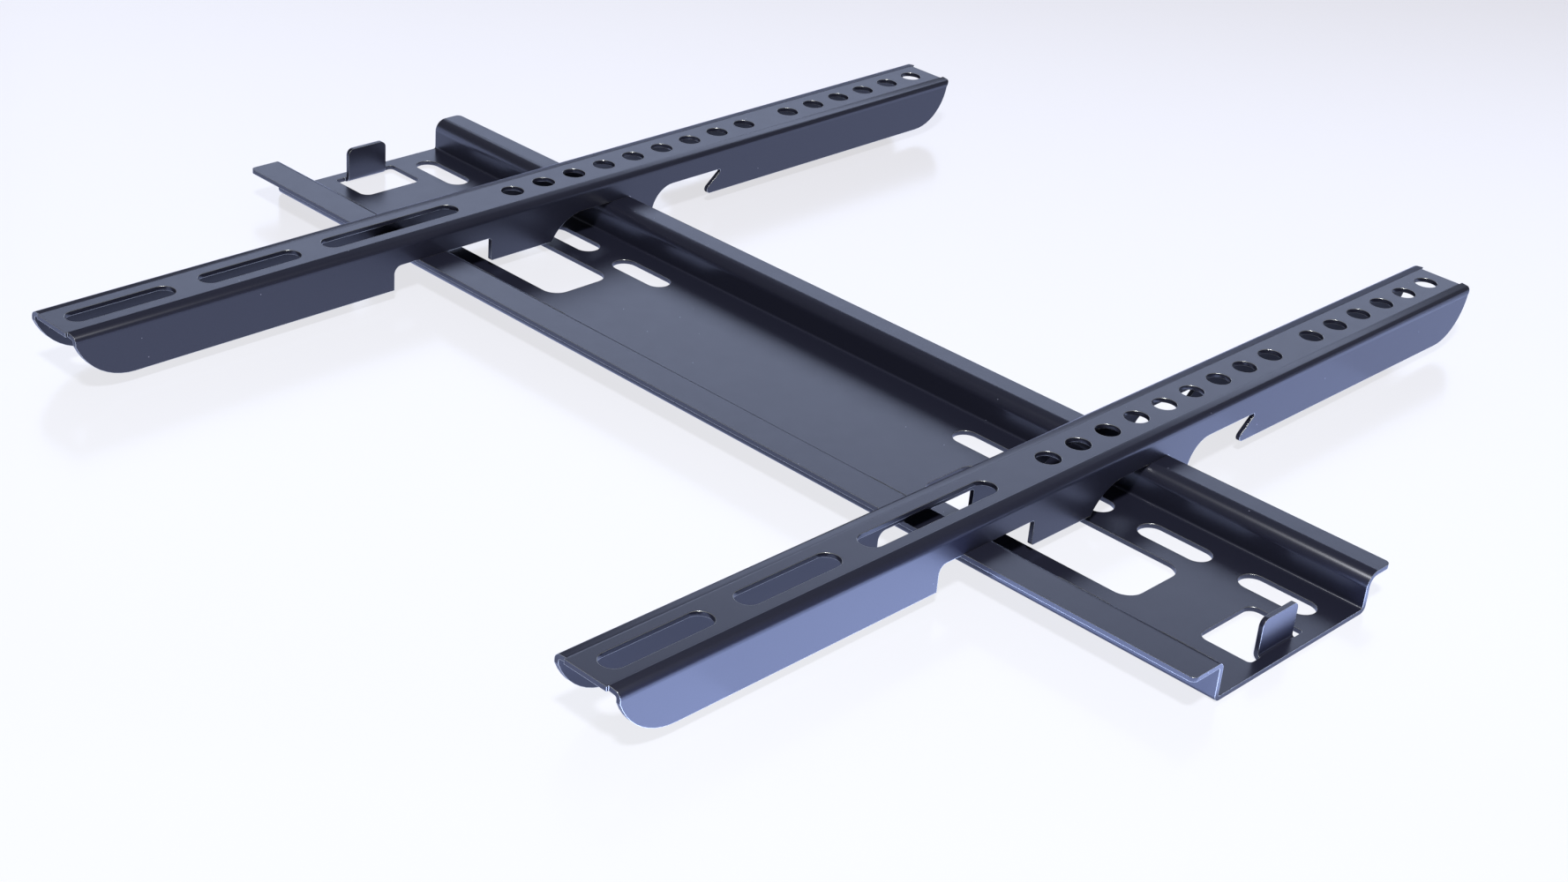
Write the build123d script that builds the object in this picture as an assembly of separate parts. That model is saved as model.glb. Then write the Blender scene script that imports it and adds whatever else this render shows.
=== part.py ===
from build123d import *
from math import acos, radians, sin, tan
import os

# The mount lies with its back on the wall plane z = 0. X runs along the wall plate,
# Y runs up the wall and Z points away from it. All sizes are in millimetres.

# Sheet steel, the same for all three pieces
sheet = 1.6
tight_bend = 0.8

# Wall plate, one channel with an outward rail along each long edge
plate_length = 441.0
plate_height = 100.0
plate_corner = 2.0
rail_height = 13.4
upper_rail_reach = 10.3
lower_rail_reach = 12.5
upper_rail_bend = 3.0
upper_wall_y = plate_height / 2 - upper_rail_reach
lower_wall_y = lower_rail_reach - plate_height / 2

# Wall slots, two rows at each end of the plate
pattern_y = -0.6
row_spacing = 50.0
wall_slot_length = 27.0
wall_slot_width = 9.5
wall_slot_pitch = 38.5
wall_slots_per_end = 4
first_wall_slot_inset = 21.5

# Windows between the rows, placed from the ends of the plate
window_height = 27.2
window_corner = 6.0
window_inset = 48.0
window_length = 85.0
end_window_inset = 23.3
end_window_corner = 3.5
relief_corner = 1.5

# End stops, bent up from the outer edges of the end windows
stop_inset = 5.0
stop_width = 17.6
stop_rise = 0.3
stop_corner = 2.5

# Brackets, measured along the bracket from the centre of its first hole
bracket_width = 25.8
bracket_depth = 18.0
shoulder_width = 4.6
shoulder_drop = 0.4
shoulder_bend = 6.0
flat_width = bracket_width - 2 * shoulder_width
hole_diameter = 8.5
hole_pitch = 15.0
lower_hole_count = 9
upper_hole_count = 6
group_gap = 25.0
web_slot_pitch = 50.0
web_slot_length = 40.0
long_slot_length = 58.5
last_slot_end = -26.5
lower_holes = [hole_pitch * i for i in range(lower_hole_count)]
upper_holes = [lower_holes[-1] + group_gap + hole_pitch * i for i in range(upper_hole_count)]
last_slot_start = last_slot_end - long_slot_length
web_slots = [
    (last_slot_start - 2 * web_slot_pitch, web_slot_length),
    (last_slot_start - web_slot_pitch, web_slot_length),
    (last_slot_start, long_slot_length),
]

# Rounded foot and head of a bracket
foot_margin = 4.7
foot_edge = 3.6
foot_radius = 22.5
tongue_length = 0.8
head_margin = 9.2
head_edge = 2.5
recess_margin = 9.8
foot_u = web_slots[0][0] - foot_margin
head_u = upper_holes[-1] + head_margin

# Hooks and notch in the sides of a bracket
seat_depth = 9.0
tooth_rake = 1.24
tooth_tip = 1.6
hook_corner = 0.8
first_hook = 49.2
hook_step = 47.6
first_throat = 40.6
first_throat_radius = 18.0
second_throat = 37.6
second_throat_radius = 10.5
hook_clearance = 0.4
notch_below = 10.9
notch_above = 18.7
notch_corner = 3.0
lug_corner = 1.2
lug_lip = 0.8

# Seats of the brackets on the plate
right_place = 123.5
left_place = -132.0
overall_height = rail_height + seat_depth
hook_grip = first_hook - sheet * tooth_rake
bracket_zero = plate_height / 2 - hook_grip + hook_clearance


def rounded_face(corners):
    """Flat face through the (x, y, radius) corners, each rounded by its radius."""
    points = [Vector(x, y) for x, y, radius in corners]
    spans = []
    for i, (x, y, radius) in enumerate(corners):
        back = (points[i - 1] - points[i]).normalized()
        ahead = (points[(i + 1) % len(points)] - points[i]).normalized()
        half = radians(back.get_angle(ahead)) / 2
        reach = radius / tan(half)
        bulge = (back + ahead).normalized() * (radius / sin(half) - radius)
        spans.append((points[i] + back * reach, points[i] + bulge, points[i] + ahead * reach))
    edges = []
    for i, (enter, middle, leave) in enumerate(spans):
        if corners[i][2] > 0:
            edges.append(ThreePointArc(enter, middle, leave))
        following = spans[(i + 1) % len(spans)][0]
        if (following - leave).length > 0.001:
            edges.append(Line(leave, following))
    return make_face(Wire(edges))


def tangent_corner(start_u, start_z, level, radius, side):
    """Corner whose rounding starts at (start_u, start_z) and runs out along the level."""
    sweep = acos((radius - abs(level - start_z)) / radius)
    centre_u = start_u + side * radius * sin(sweep)
    return (centre_u - side * radius * tan(sweep / 2), level, radius)


def plate_channel():
    """Folded section of the wall plate, run along its length and rounded at its corners."""
    outer_bend = tight_bend + sheet
    edge = plate_height / 2
    under = rail_height - sheet
    section = rounded_face([
        (-edge, rail_height, 0),
        (lower_wall_y + sheet, rail_height, outer_bend),
        (lower_wall_y + sheet, sheet, tight_bend),
        (upper_wall_y - sheet, sheet, tight_bend),
        (upper_wall_y - sheet, rail_height, upper_rail_bend + sheet),
        (edge, rail_height, 0),
        (edge, under, 0),
        (upper_wall_y, under, upper_rail_bend),
        (upper_wall_y, 0, outer_bend),
        (lower_wall_y, 0, outer_bend),
        (lower_wall_y, under, tight_bend),
        (-edge, under, 0),
    ])
    channel = extrude(Plane.YZ * section, amount=plate_length / 2, both=True)
    blank = RectangleRounded(plate_length, plate_height, plate_corner)
    return channel & extrude(blank, amount=rail_height)


def plate_openings():
    """Slots and windows of the right-hand end of the plate, as flat shapes."""
    end = plate_length / 2
    slot = SlotOverall(wall_slot_length, wall_slot_width)
    shapes = []
    for i in range(wall_slots_per_end):
        x = end - first_wall_slot_inset - wall_slot_pitch * i
        for row in (-1, 1):
            shapes.append(Pos(x, pattern_y + row * row_spacing / 2) * slot)
    window = RectangleRounded(window_length, window_height, window_corner)
    shapes.append(Pos(end - window_inset - window_length / 2, pattern_y) * window)
    inner = end - end_window_inset
    outer = end - stop_inset + tight_bend
    low = pattern_y - window_height / 2
    high = pattern_y + window_height / 2
    shapes.append(rounded_face([
        (inner, low, end_window_corner),
        (outer, low, relief_corner),
        (outer, high, relief_corner),
        (inner, high, end_window_corner),
    ]))
    return shapes


def end_stop():
    """Stop at the right-hand end of the plate, with the bend at its foot."""
    top = rail_height + stop_rise
    outer = plate_length / 2 - stop_inset
    root = outer + tight_bend + sheet
    fold = rounded_face([
        (outer, top, 0),
        (outer, sheet, tight_bend),
        (root, sheet, 0),
        (root, 0, 0),
        (outer - sheet, 0, tight_bend + sheet),
        (outer - sheet, top, 0),
    ])
    folded = extrude(Plane.XZ * fold, amount=stop_width / 2, both=True)
    front = rounded_face([
        (-stop_width / 2, 0, 0),
        (stop_width / 2, 0, 0),
        (stop_width / 2, top, stop_corner),
        (-stop_width / 2, top, stop_corner),
    ])
    return Pos(0, pattern_y, 0) * (folded & extrude(Plane.YZ * front, amount=root))


def wall_plate():
    """The wall plate, the same at both ends."""
    plate = plate_channel()
    for shape in plate_openings():
        cutter = extrude(shape, amount=sheet)
        plate = plate - cutter - mirror(cutter, Plane.YZ)
    stop = end_stop()
    return plate + stop + mirror(stop, Plane.YZ)


def hook(deep_u, throat, throat_radius):
    """Corners of one hook, from the start of its throat to the tip of its tooth."""
    tooth_u = deep_u - tooth_rake * (bracket_depth - seat_depth)
    start_u = deep_u - throat
    return [
        (start_u, -bracket_depth, 0),
        tangent_corner(start_u, -bracket_depth, -seat_depth, throat_radius, 1),
        (deep_u, -seat_depth, hook_corner),
        (tooth_u, -bracket_depth, tooth_tip),
    ]


def bracket_side():
    """Outline of a bracket seen from its side, with foot, notch, hooks and head."""
    bottom = -bracket_depth
    notch_start = -plate_height / 2 - bracket_zero - notch_below
    notch_end = lower_wall_y + sheet - bracket_zero + notch_above
    return rounded_face([
        (foot_u, 0, 0),
        (foot_u, -foot_edge, 0),
        tangent_corner(foot_u, -foot_edge, bottom, foot_radius, 1),
        (notch_start, bottom, 0),
        (notch_start, -seat_depth, notch_corner),
        (notch_end, -seat_depth, lug_corner),
        (notch_end, bottom, lug_lip),
        *hook(first_hook, first_throat, first_throat_radius),
        *hook(first_hook + hook_step, second_throat, second_throat_radius),
        tangent_corner(head_u, -head_edge, bottom, bracket_depth, -1),
        (head_u, -head_edge, 0),
        (head_u + head_edge, 0, 0),
    ])


def bracket_section():
    """Folded section of a bracket, an upturned channel whose web slopes off towards its bends."""
    outer_half = bracket_width / 2
    inner_half = outer_half - sheet
    flat_half = flat_width / 2
    outer_bend = tight_bend + sheet
    inner_drop = shoulder_drop * (shoulder_width - sheet) / shoulder_width
    return rounded_face([
        (-outer_half, -bracket_depth, 0),
        (-outer_half, -shoulder_drop, outer_bend),
        (-flat_half, 0, shoulder_bend + sheet),
        (flat_half, 0, shoulder_bend + sheet),
        (outer_half, -shoulder_drop, outer_bend),
        (outer_half, -bracket_depth, 0),
        (inner_half, -bracket_depth, 0),
        (inner_half, -sheet - inner_drop, tight_bend),
        (flat_half, -sheet, shoulder_bend),
        (-flat_half, -sheet, shoulder_bend),
        (-inner_half, -sheet - inner_drop, tight_bend),
        (-inner_half, -bracket_depth, 0),
    ])


def web_openings():
    """Holes and slots of the web, as flat shapes."""
    shapes = [Pos(0, u) * Circle(hole_diameter / 2) for u in lower_holes + upper_holes]
    for start_u, length in web_slots:
        slot = Rot(0, 0, 90) * SlotOverall(length, hole_diameter)
        shapes.append(Pos(0, start_u + length / 2) * slot)
    return shapes


def bracket():
    """One bracket, with its first hole at the origin and the top of its web at z = 0."""
    reach = max(head_u + head_edge, -foot_u)
    channel = extrude(Plane.XZ * bracket_section(), amount=reach, both=True)
    side = extrude(Plane.YZ * bracket_side(), amount=bracket_width / 2, both=True)
    body = channel & side
    tongue = Pos(0, foot_u, 0) * Box(
        flat_width, 2 * tongue_length, sheet, align=(Align.CENTER, Align.CENTER, Align.MAX)
    )
    recess = Pos(0, upper_holes[-1] + recess_margin, 0) * Box(
        flat_width, bracket_depth, sheet, align=(Align.CENTER, Align.MIN, Align.MAX)
    )
    body = body + tongue - recess
    for shape in web_openings():
        body -= extrude(shape, amount=-sheet)
    return body


def build():
    """Write each piece in its place on the mount."""
    os.makedirs("parts", exist_ok=True)
    rail = bracket()
    pieces = {
        "wall_plate": wall_plate(),
        "right_bracket": Pos(right_place, bracket_zero, overall_height) * rail,
        "left_bracket": Pos(left_place, bracket_zero, overall_height) * rail,
    }
    for name, solid in pieces.items():
        export_step(solid, f"parts/{name}.step")


build()
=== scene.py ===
import math

import bpy
from mathutils import Euler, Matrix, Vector

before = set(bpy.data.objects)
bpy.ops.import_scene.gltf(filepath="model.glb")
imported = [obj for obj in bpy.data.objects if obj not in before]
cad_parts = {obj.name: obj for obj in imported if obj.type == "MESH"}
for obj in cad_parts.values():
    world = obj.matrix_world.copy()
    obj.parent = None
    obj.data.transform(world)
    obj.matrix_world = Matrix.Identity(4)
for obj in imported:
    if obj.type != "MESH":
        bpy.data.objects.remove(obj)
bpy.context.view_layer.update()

MM = 0.001

# Camera, solved from the rows of bracket holes and the edges of the plate
CAMERA_PLACE = (0.52273, -0.56064, 0.38606)
CAMERA_TURN_DEG = (61.513, -4.866, 43.925)
CAMERA_SHIFT = (-0.0192, 0.0099)
LENS_MM = 57.75
SENSOR_MM = 36.0
NEAREST_SEEN = 0.01
FARTHEST_SEEN = 50.0

# Rounding that the coat gives each cut edge of the sheet, and the clean-up of the facets before it
COAT_ROUNDING_MM = 0.25
CUT_EDGE_DEG = 40.0
JOIN_MM = 0.001
FLAT_DEG = 0.5

# Skin of the baked powder: slow ripple, and a grain drawn coarser than real powder so that it shows
COAT_DARK = "#21222f"
COAT_LIGHT = "#292a38"
COAT_IOR = 1.6
SMOOTH_ROUGHNESS = 0.27
DULL_ROUGHNESS = 0.31
RIPPLE_WIDTH_MM = 6.0
RIPPLE_HEIGHT_MM = 0.02
RIPPLE_STRENGTH = 0.10
GRAIN_WIDTH_MM = 0.5
GRAIN_HEIGHT_MM = 0.012
GRAIN_STRENGTH = 0.35

# Thin coat at the cut edges, with uncoated steel set there wide and bright as a painted highlight
# along each edge. It starts and is at its barest where the rounded normal has turned so far
THIN_COAT_HIGHLIGHT_MM = 0.3
THIN_COAT_HIGHLIGHT_STARTS = 0.985
THIN_COAT_HIGHLIGHT_BAREST = 0.93
BARE_HIGHLIGHT_SHARE = 0.9
BARE_STEEL_HIGHLIGHT = "#d6d6cc"

# Loose dust on the coat, with the edge and the core of a speck as shares of its size
DUST_COLOUR = "#8f90a0"
DUST_SPACING_MM = 9.0
DUST_SIZE_MM = 0.5
DUST_EDGE = 0.5
DUST_CORE = 0.3

# The press brake draws the web of a bracket down beside its bends. Distances are from the web's middle
WEB_MIDDLE_MM = {"right_bracket": 123.5, "left_bracket": -132.0}
WEB_HEIGHT_MM = 20.6
SHOULDER_START_MM = 7.6
SHOULDER_END_MM = 12.6
SHOULDER_DRAW_MM = 0.42

# Table, a white sheet that glows, brighter towards the camera
TABLE_SIZE = 12.0
TABLE_DROP_MM = 0.02
TABLE_COLOUR = "#74757a"
TABLE_ROUGHNESS = 0.2
TABLE_IOR = 1.3
TOWARDS_CAMERA = (0.68, -0.73, 0.0)
GLOW_FAR_END = -0.7
GLOW_NEAR_END = 0.25
GLOW_FAR = "#b2afb1"
GLOW_NEAR = "#d3d4d8"
GLOW_MIRRORED = "#bccbff"
GLOW_STRENGTH = 1.25

# Shadow on the table inside the brackets and behind the plate, where the steel mirrors it
SHADE_HALF_MM = 12.0
SHADE_START_MM = 45.0
SHADE_GLOW = "#3c4254"

# Panels in the table beside the right-hand faces: start in X, start and end in Y, and radiance
TABLE_PANELS = (
    (0.137, -0.40, -0.24, 4.2),
    (0.137, -0.24, -0.14, 3.8),
    (0.137, -0.14, -0.0385, 3.2),
    (0.223, -0.0385, 0.052, 3.0),
    (0.137, 0.052, 0.11, 1.3),
    (0.137, 0.11, 0.18, 0.95),
    (0.137, 0.18, 0.40, 0.62),
)
PANEL_REACH = 0.25
PANEL_LIFT_MM = 0.1
PANEL_COLOUR = "#b0c4ff"

# Softboxes and room. A radiance or strength of 1 shows a white face as white
KEY_PLACE = (0.743, -0.797, 1.677)
KEY_SIZE = (0.2, 0.2)
KEY_RADIANCE = 240.0
KEY_COLOUR = "#f6f8ff"
REAR_PLACE = (-2.33, 2.77, 1.71)
REAR_SIZE = (3.6, 1.3)
REAR_RADIANCE = 2.0
REAR_COLOUR = "#cddbff"
ROOM_COLOUR = "#d6dcf2"
ROOM_STRENGTH = 0.16
BACKDROP_COLOUR = "#e9ebf5"


def linear(hex_colour):
    """An sRGB hex colour as linear red, green, blue and full alpha."""
    channels = [int(hex_colour[i:i + 2], 16) / 255 for i in (1, 3, 5)]
    return [c / 12.92 if c <= 0.04045 else ((c + 0.055) / 1.055) ** 2.4 for c in channels] + [1.0]


def add(tree, kind, settings=None, links=None, values=None):
    """Adds a node, sets its properties, and links its inputs or gives them values."""
    node = tree.nodes.new(kind)
    for name, value in (settings or {}).items():
        setattr(node, name, value)
    for socket, source in (links or {}).items():
        tree.links.new(source, node.inputs[socket])
    for socket, value in (values or {}).items():
        node.inputs[socket].default_value = value
    return node


def new_material(name):
    """An empty node material."""
    material = bpy.data.materials.new(name)
    material.use_nodes = True
    material.node_tree.nodes.clear()
    return material, material.node_tree


def black_powder_coat(name, web_middle_mm=None):
    """Black polyester powder coat on folded steel, sprayed as dust and baked. The dust flows out
    into a satin skin, so flat faces mirror the room softly, and the steel's colour is lost. At cut
    edges the coat draws back thin, and bright steel is set there as a painted edge highlight."""
    material, tree = new_material(name)
    place = add(tree, "ShaderNodeTexCoord").outputs["Object"]
    ripple = add(tree, "ShaderNodeTexNoise", links={"Vector": place},
                 values={"Scale": 1 / (RIPPLE_WIDTH_MM * MM), "Detail": 2.0}).outputs["Fac"]
    grain = add(tree, "ShaderNodeTexNoise", links={"Vector": place},
                values={"Scale": 1 / (GRAIN_WIDTH_MM * MM), "Detail": 2.0}).outputs["Fac"]
    rounded = add(tree, "ShaderNodeBevel", {"samples": 8},
                  values={"Radius": THIN_COAT_HIGHLIGHT_MM * MM}).outputs["Normal"]
    bare_and_highlight = thin_coat_highlight(tree, rounded)
    surface = rounded
    if web_middle_mm is not None:
        surface = drawn_shoulders(tree, place, rounded, web_middle_mm)
    rippled = add(tree, "ShaderNodeBump", links={"Height": ripple, "Normal": surface},
                  values={"Strength": RIPPLE_STRENGTH, "Distance": RIPPLE_HEIGHT_MM * MM})
    grained = add(tree, "ShaderNodeBump",
                  links={"Height": grain, "Normal": rippled.outputs["Normal"]},
                  values={"Strength": GRAIN_STRENGTH, "Distance": GRAIN_HEIGHT_MM * MM})
    powder = add(tree, "ShaderNodeMix", {"data_type": "RGBA"}, {"Factor": grain},
                 {"A": linear(COAT_DARK), "B": linear(COAT_LIGHT)})
    dusted = add(tree, "ShaderNodeMix", {"data_type": "RGBA"},
                 {"Factor": loose_dust(tree, place), "A": powder.outputs["Result"]},
                 {"B": linear(DUST_COLOUR)})
    # The uncoated steel at the cut edges is a painted highlight as well as thinned coat
    colour = add(tree, "ShaderNodeMix", {"data_type": "RGBA"},
                 {"Factor": bare_and_highlight, "A": dusted.outputs["Result"]}, {"B": linear(BARE_STEEL_HIGHLIGHT)})
    gloss = add(tree, "ShaderNodeMapRange", links={"Value": ripple},
                values={"To Min": SMOOTH_ROUGHNESS, "To Max": DULL_ROUGHNESS})
    coat = add(tree, "ShaderNodeBsdfPrincipled",
               links={"Base Color": colour.outputs["Result"], "Metallic": bare_and_highlight,
                      "Roughness": gloss.outputs["Result"], "Normal": grained.outputs["Normal"]},
               values={"IOR": COAT_IOR})
    add(tree, "ShaderNodeOutputMaterial", links={"Surface": coat.outputs["BSDF"]})
    return material


def thin_coat_highlight(tree, rounded):
    """How far the steel shows through at the cut edges, as a painted highlight along them, found from
    how far the rounded normal turns off the face.
    """
    face = add(tree, "ShaderNodeNewGeometry").outputs["Normal"]
    turned = add(tree, "ShaderNodeVectorMath", {"operation": "DOT_PRODUCT"}, {0: rounded, 1: face})
    bare_and_highlight = add(tree, "ShaderNodeMapRange", links={"Value": turned.outputs["Value"]},
               values={"From Min": THIN_COAT_HIGHLIGHT_STARTS, "From Max": THIN_COAT_HIGHLIGHT_BAREST,
                       "To Min": 0.0, "To Max": BARE_HIGHLIGHT_SHARE})
    return bare_and_highlight.outputs["Result"]


def loose_dust(tree, place):
    """One on a speck of dust and zero beside it."""
    cells = add(tree, "ShaderNodeTexVoronoi", links={"Vector": place},
                values={"Scale": 1 / (DUST_SPACING_MM * MM), "Randomness": 1.0})
    share = DUST_SIZE_MM / DUST_SPACING_MM
    speck = add(tree, "ShaderNodeMapRange", links={"Value": cells.outputs["Distance"]},
                values={"From Min": DUST_EDGE * share, "From Max": DUST_CORE * share})
    return speck.outputs["Result"]


def drawn_shoulders(tree, place, normal, web_middle_mm):
    """Lets the web of a bracket fall away towards its bends, on its upper face only."""
    axes = add(tree, "ShaderNodeSeparateXYZ", links={"Vector": place}).outputs
    fall = add(tree, "ShaderNodeMapRange", {"interpolation_type": "SMOOTHSTEP"},
               {"Value": distance_aside(tree, axes["X"], web_middle_mm)},
               {"From Min": SHOULDER_START_MM * MM, "From Max": SHOULDER_END_MM * MM,
                "To Min": 0.0, "To Max": -SHOULDER_DRAW_MM})
    drawn = add(tree, "ShaderNodeBump", links={"Height": fall.outputs["Result"], "Normal": normal},
                values={"Strength": 1.0, "Distance": MM})
    on_web = add(tree, "ShaderNodeMath", {"operation": "GREATER_THAN"}, {0: axes["Z"]},
                 {1: WEB_HEIGHT_MM * MM})
    surface = add(tree, "ShaderNodeMix", {"data_type": "VECTOR"},
                  {"Factor": on_web.outputs["Value"], "A": normal, "B": drawn.outputs["Normal"]})
    return surface.outputs["Result"]


def distance_aside(tree, across, web_middle_mm):
    """Distance in X from the middle of a bracket's web."""
    aside = add(tree, "ShaderNodeMath", {"operation": "SUBTRACT"}, {0: across},
                {1: web_middle_mm * MM})
    distance = add(tree, "ShaderNodeMath", {"operation": "ABSOLUTE"}, {0: aside.outputs["Value"]})
    return distance.outputs["Value"]


def finish_piece(piece, material):
    """Gives a CAD piece its coat and rounds its cut edges."""
    for slot in piece.material_slots:
        slot.material = material
    join = piece.modifiers.new("join_facets", "WELD")
    join.merge_threshold = JOIN_MM * MM
    flats = piece.modifiers.new("clear_flats", "DECIMATE")
    flats.decimate_type = "DISSOLVE"
    flats.angle_limit = math.radians(FLAT_DEG)
    edges = piece.modifiers.new("round_edges", "BEVEL")
    edges.width = COAT_ROUNDING_MM * MM
    edges.segments = 2
    edges.limit_method = "ANGLE"
    edges.angle_limit = math.radians(CUT_EDGE_DEG)
    edges.harden_normals = True


def shade_inside_brackets(tree, place):
    """One inside the brackets behind the plate, and zero elsewhere."""
    axes = add(tree, "ShaderNodeSeparateXYZ", links={"Vector": place}).outputs
    right, left = (distance_aside(tree, axes["X"], middle) for middle in WEB_MIDDLE_MM.values())
    nearest = add(tree, "ShaderNodeMath", {"operation": "MINIMUM"}, {0: right, 1: left})
    within = add(tree, "ShaderNodeMath", {"operation": "LESS_THAN"},
                 {0: nearest.outputs["Value"]}, {1: SHADE_HALF_MM * MM})
    behind = add(tree, "ShaderNodeMath", {"operation": "GREATER_THAN"}, {0: axes["Y"]},
                 {1: SHADE_START_MM * MM})
    both = add(tree, "ShaderNodeMath", {"operation": "MULTIPLY"},
               {0: behind.outputs["Value"], 1: within.outputs["Value"]})
    return both.outputs["Value"]


def white_table():
    """Opal acrylic sheet over lamps, as on a light table. Its glow makes the object's shadow pale
    and soft, and its smooth top mirrors the object faintly. The steel mirrors the glow bluer than
    the camera sees it, and dark inside the brackets."""
    bpy.ops.object.select_all(action="DESELECT")
    bpy.ops.mesh.primitive_plane_add(size=TABLE_SIZE, location=(0, 0, -TABLE_DROP_MM * MM))
    table = bpy.context.object
    table.name = "floor"
    material, tree = new_material("white_light_table")
    place = add(tree, "ShaderNodeTexCoord").outputs["Object"]
    nearer = add(tree, "ShaderNodeVectorMath", {"operation": "DOT_PRODUCT"}, {0: place},
                 {1: TOWARDS_CAMERA})
    depth = add(tree, "ShaderNodeMapRange", links={"Value": nearer.outputs["Value"]},
                values={"From Min": GLOW_FAR_END, "From Max": GLOW_NEAR_END})
    seen = add(tree, "ShaderNodeMix", {"data_type": "RGBA"}, {"Factor": depth.outputs["Result"]},
               {"A": linear(GLOW_FAR), "B": linear(GLOW_NEAR)})
    mirrored = add(tree, "ShaderNodeMix", {"data_type": "RGBA"},
                   {"Factor": shade_inside_brackets(tree, place)},
                   {"A": linear(GLOW_MIRRORED), "B": linear(SHADE_GLOW)})
    glossy_ray = add(tree, "ShaderNodeLightPath").outputs["Is Glossy Ray"]
    glow = add(tree, "ShaderNodeMix", {"data_type": "RGBA"},
               {"Factor": glossy_ray, "A": seen.outputs["Result"], "B": mirrored.outputs["Result"]})
    surface = add(tree, "ShaderNodeBsdfPrincipled", links={"Emission Color": glow.outputs["Result"]},
                  values={"Base Color": linear(TABLE_COLOUR), "Emission Strength": GLOW_STRENGTH,
                          "Roughness": TABLE_ROUGHNESS, "IOR": TABLE_IOR})
    add(tree, "ShaderNodeOutputMaterial", links={"Surface": surface.outputs["BSDF"]})
    table.data.materials.append(material)


def soft_light(name, place, aim, size, radiance, colour):
    """A softbox of a width and height at a place, turned towards a point and unseen itself."""
    data = bpy.data.lights.new(name, "AREA")
    data.shape = "RECTANGLE"
    data.size, data.size_y = size
    data.energy = radiance * math.pi * size[0] * size[1]
    data.color = linear(colour)[:3]
    lamp = bpy.data.objects.new(name, data)
    lamp.location = place
    lamp.rotation_euler = (Vector(aim) - Vector(place)).to_track_quat("-Z", "Y").to_euler()
    lamp.visible_camera = False
    bpy.context.scene.collection.objects.link(lamp)


def studio():
    """A front key, a low softbox behind that the upper faces mirror, and panels in the table that
    the right-hand faces mirror."""
    soft_light("front_key", KEY_PLACE, (0, 0, 0), KEY_SIZE, KEY_RADIANCE, KEY_COLOUR)
    soft_light("rear_softbox", REAR_PLACE, (0, 0, 0), REAR_SIZE, REAR_RADIANCE, REAR_COLOUR)
    for number, (low_x, low_y, high_y, radiance) in enumerate(TABLE_PANELS):
        middle = (low_x + PANEL_REACH / 2, (low_y + high_y) / 2)
        soft_light(f"table_panel_{number}", (*middle, PANEL_LIFT_MM * MM), (*middle, 1.0),
                   (PANEL_REACH, high_y - low_y), radiance, PANEL_COLOUR)


def dim_room():
    """World that lights the object dimly, behind a pale backdrop that only the camera sees."""
    world = bpy.data.worlds.new("dim_room")
    bpy.context.scene.world = world
    world.use_nodes = True
    tree = world.node_tree
    tree.nodes.clear()
    room = add(tree, "ShaderNodeBackground",
               values={"Color": linear(ROOM_COLOUR), "Strength": ROOM_STRENGTH})
    backdrop = add(tree, "ShaderNodeBackground",
                   values={"Color": linear(BACKDROP_COLOUR), "Strength": 1.0})
    camera_ray = add(tree, "ShaderNodeLightPath").outputs["Is Camera Ray"]
    mixed = add(tree, "ShaderNodeMixShader", links={
        0: camera_ray, 1: room.outputs["Background"], 2: backdrop.outputs["Background"]})
    add(tree, "ShaderNodeOutputWorld", links={"Surface": mixed.outputs["Shader"]})


def camera():
    """The camera at the photograph's angle."""
    data = bpy.data.cameras.new("camera")
    data.lens = LENS_MM
    data.sensor_width = SENSOR_MM
    data.sensor_fit = "HORIZONTAL"
    data.shift_x, data.shift_y = CAMERA_SHIFT
    data.clip_start = NEAREST_SEEN
    data.clip_end = FARTHEST_SEEN
    eye = bpy.data.objects.new("camera", data)
    eye.location = CAMERA_PLACE
    eye.rotation_euler = Euler([math.radians(a) for a in CAMERA_TURN_DEG], "XYZ")
    bpy.context.scene.collection.objects.link(eye)
    bpy.context.scene.camera = eye


for name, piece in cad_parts.items():
    finish_piece(piece, black_powder_coat("black_powder_coat_" + name, WEB_MIDDLE_MM.get(name)))
white_table()
studio()
dim_room()
camera()
bpy.context.scene.view_settings.view_transform = "Standard"
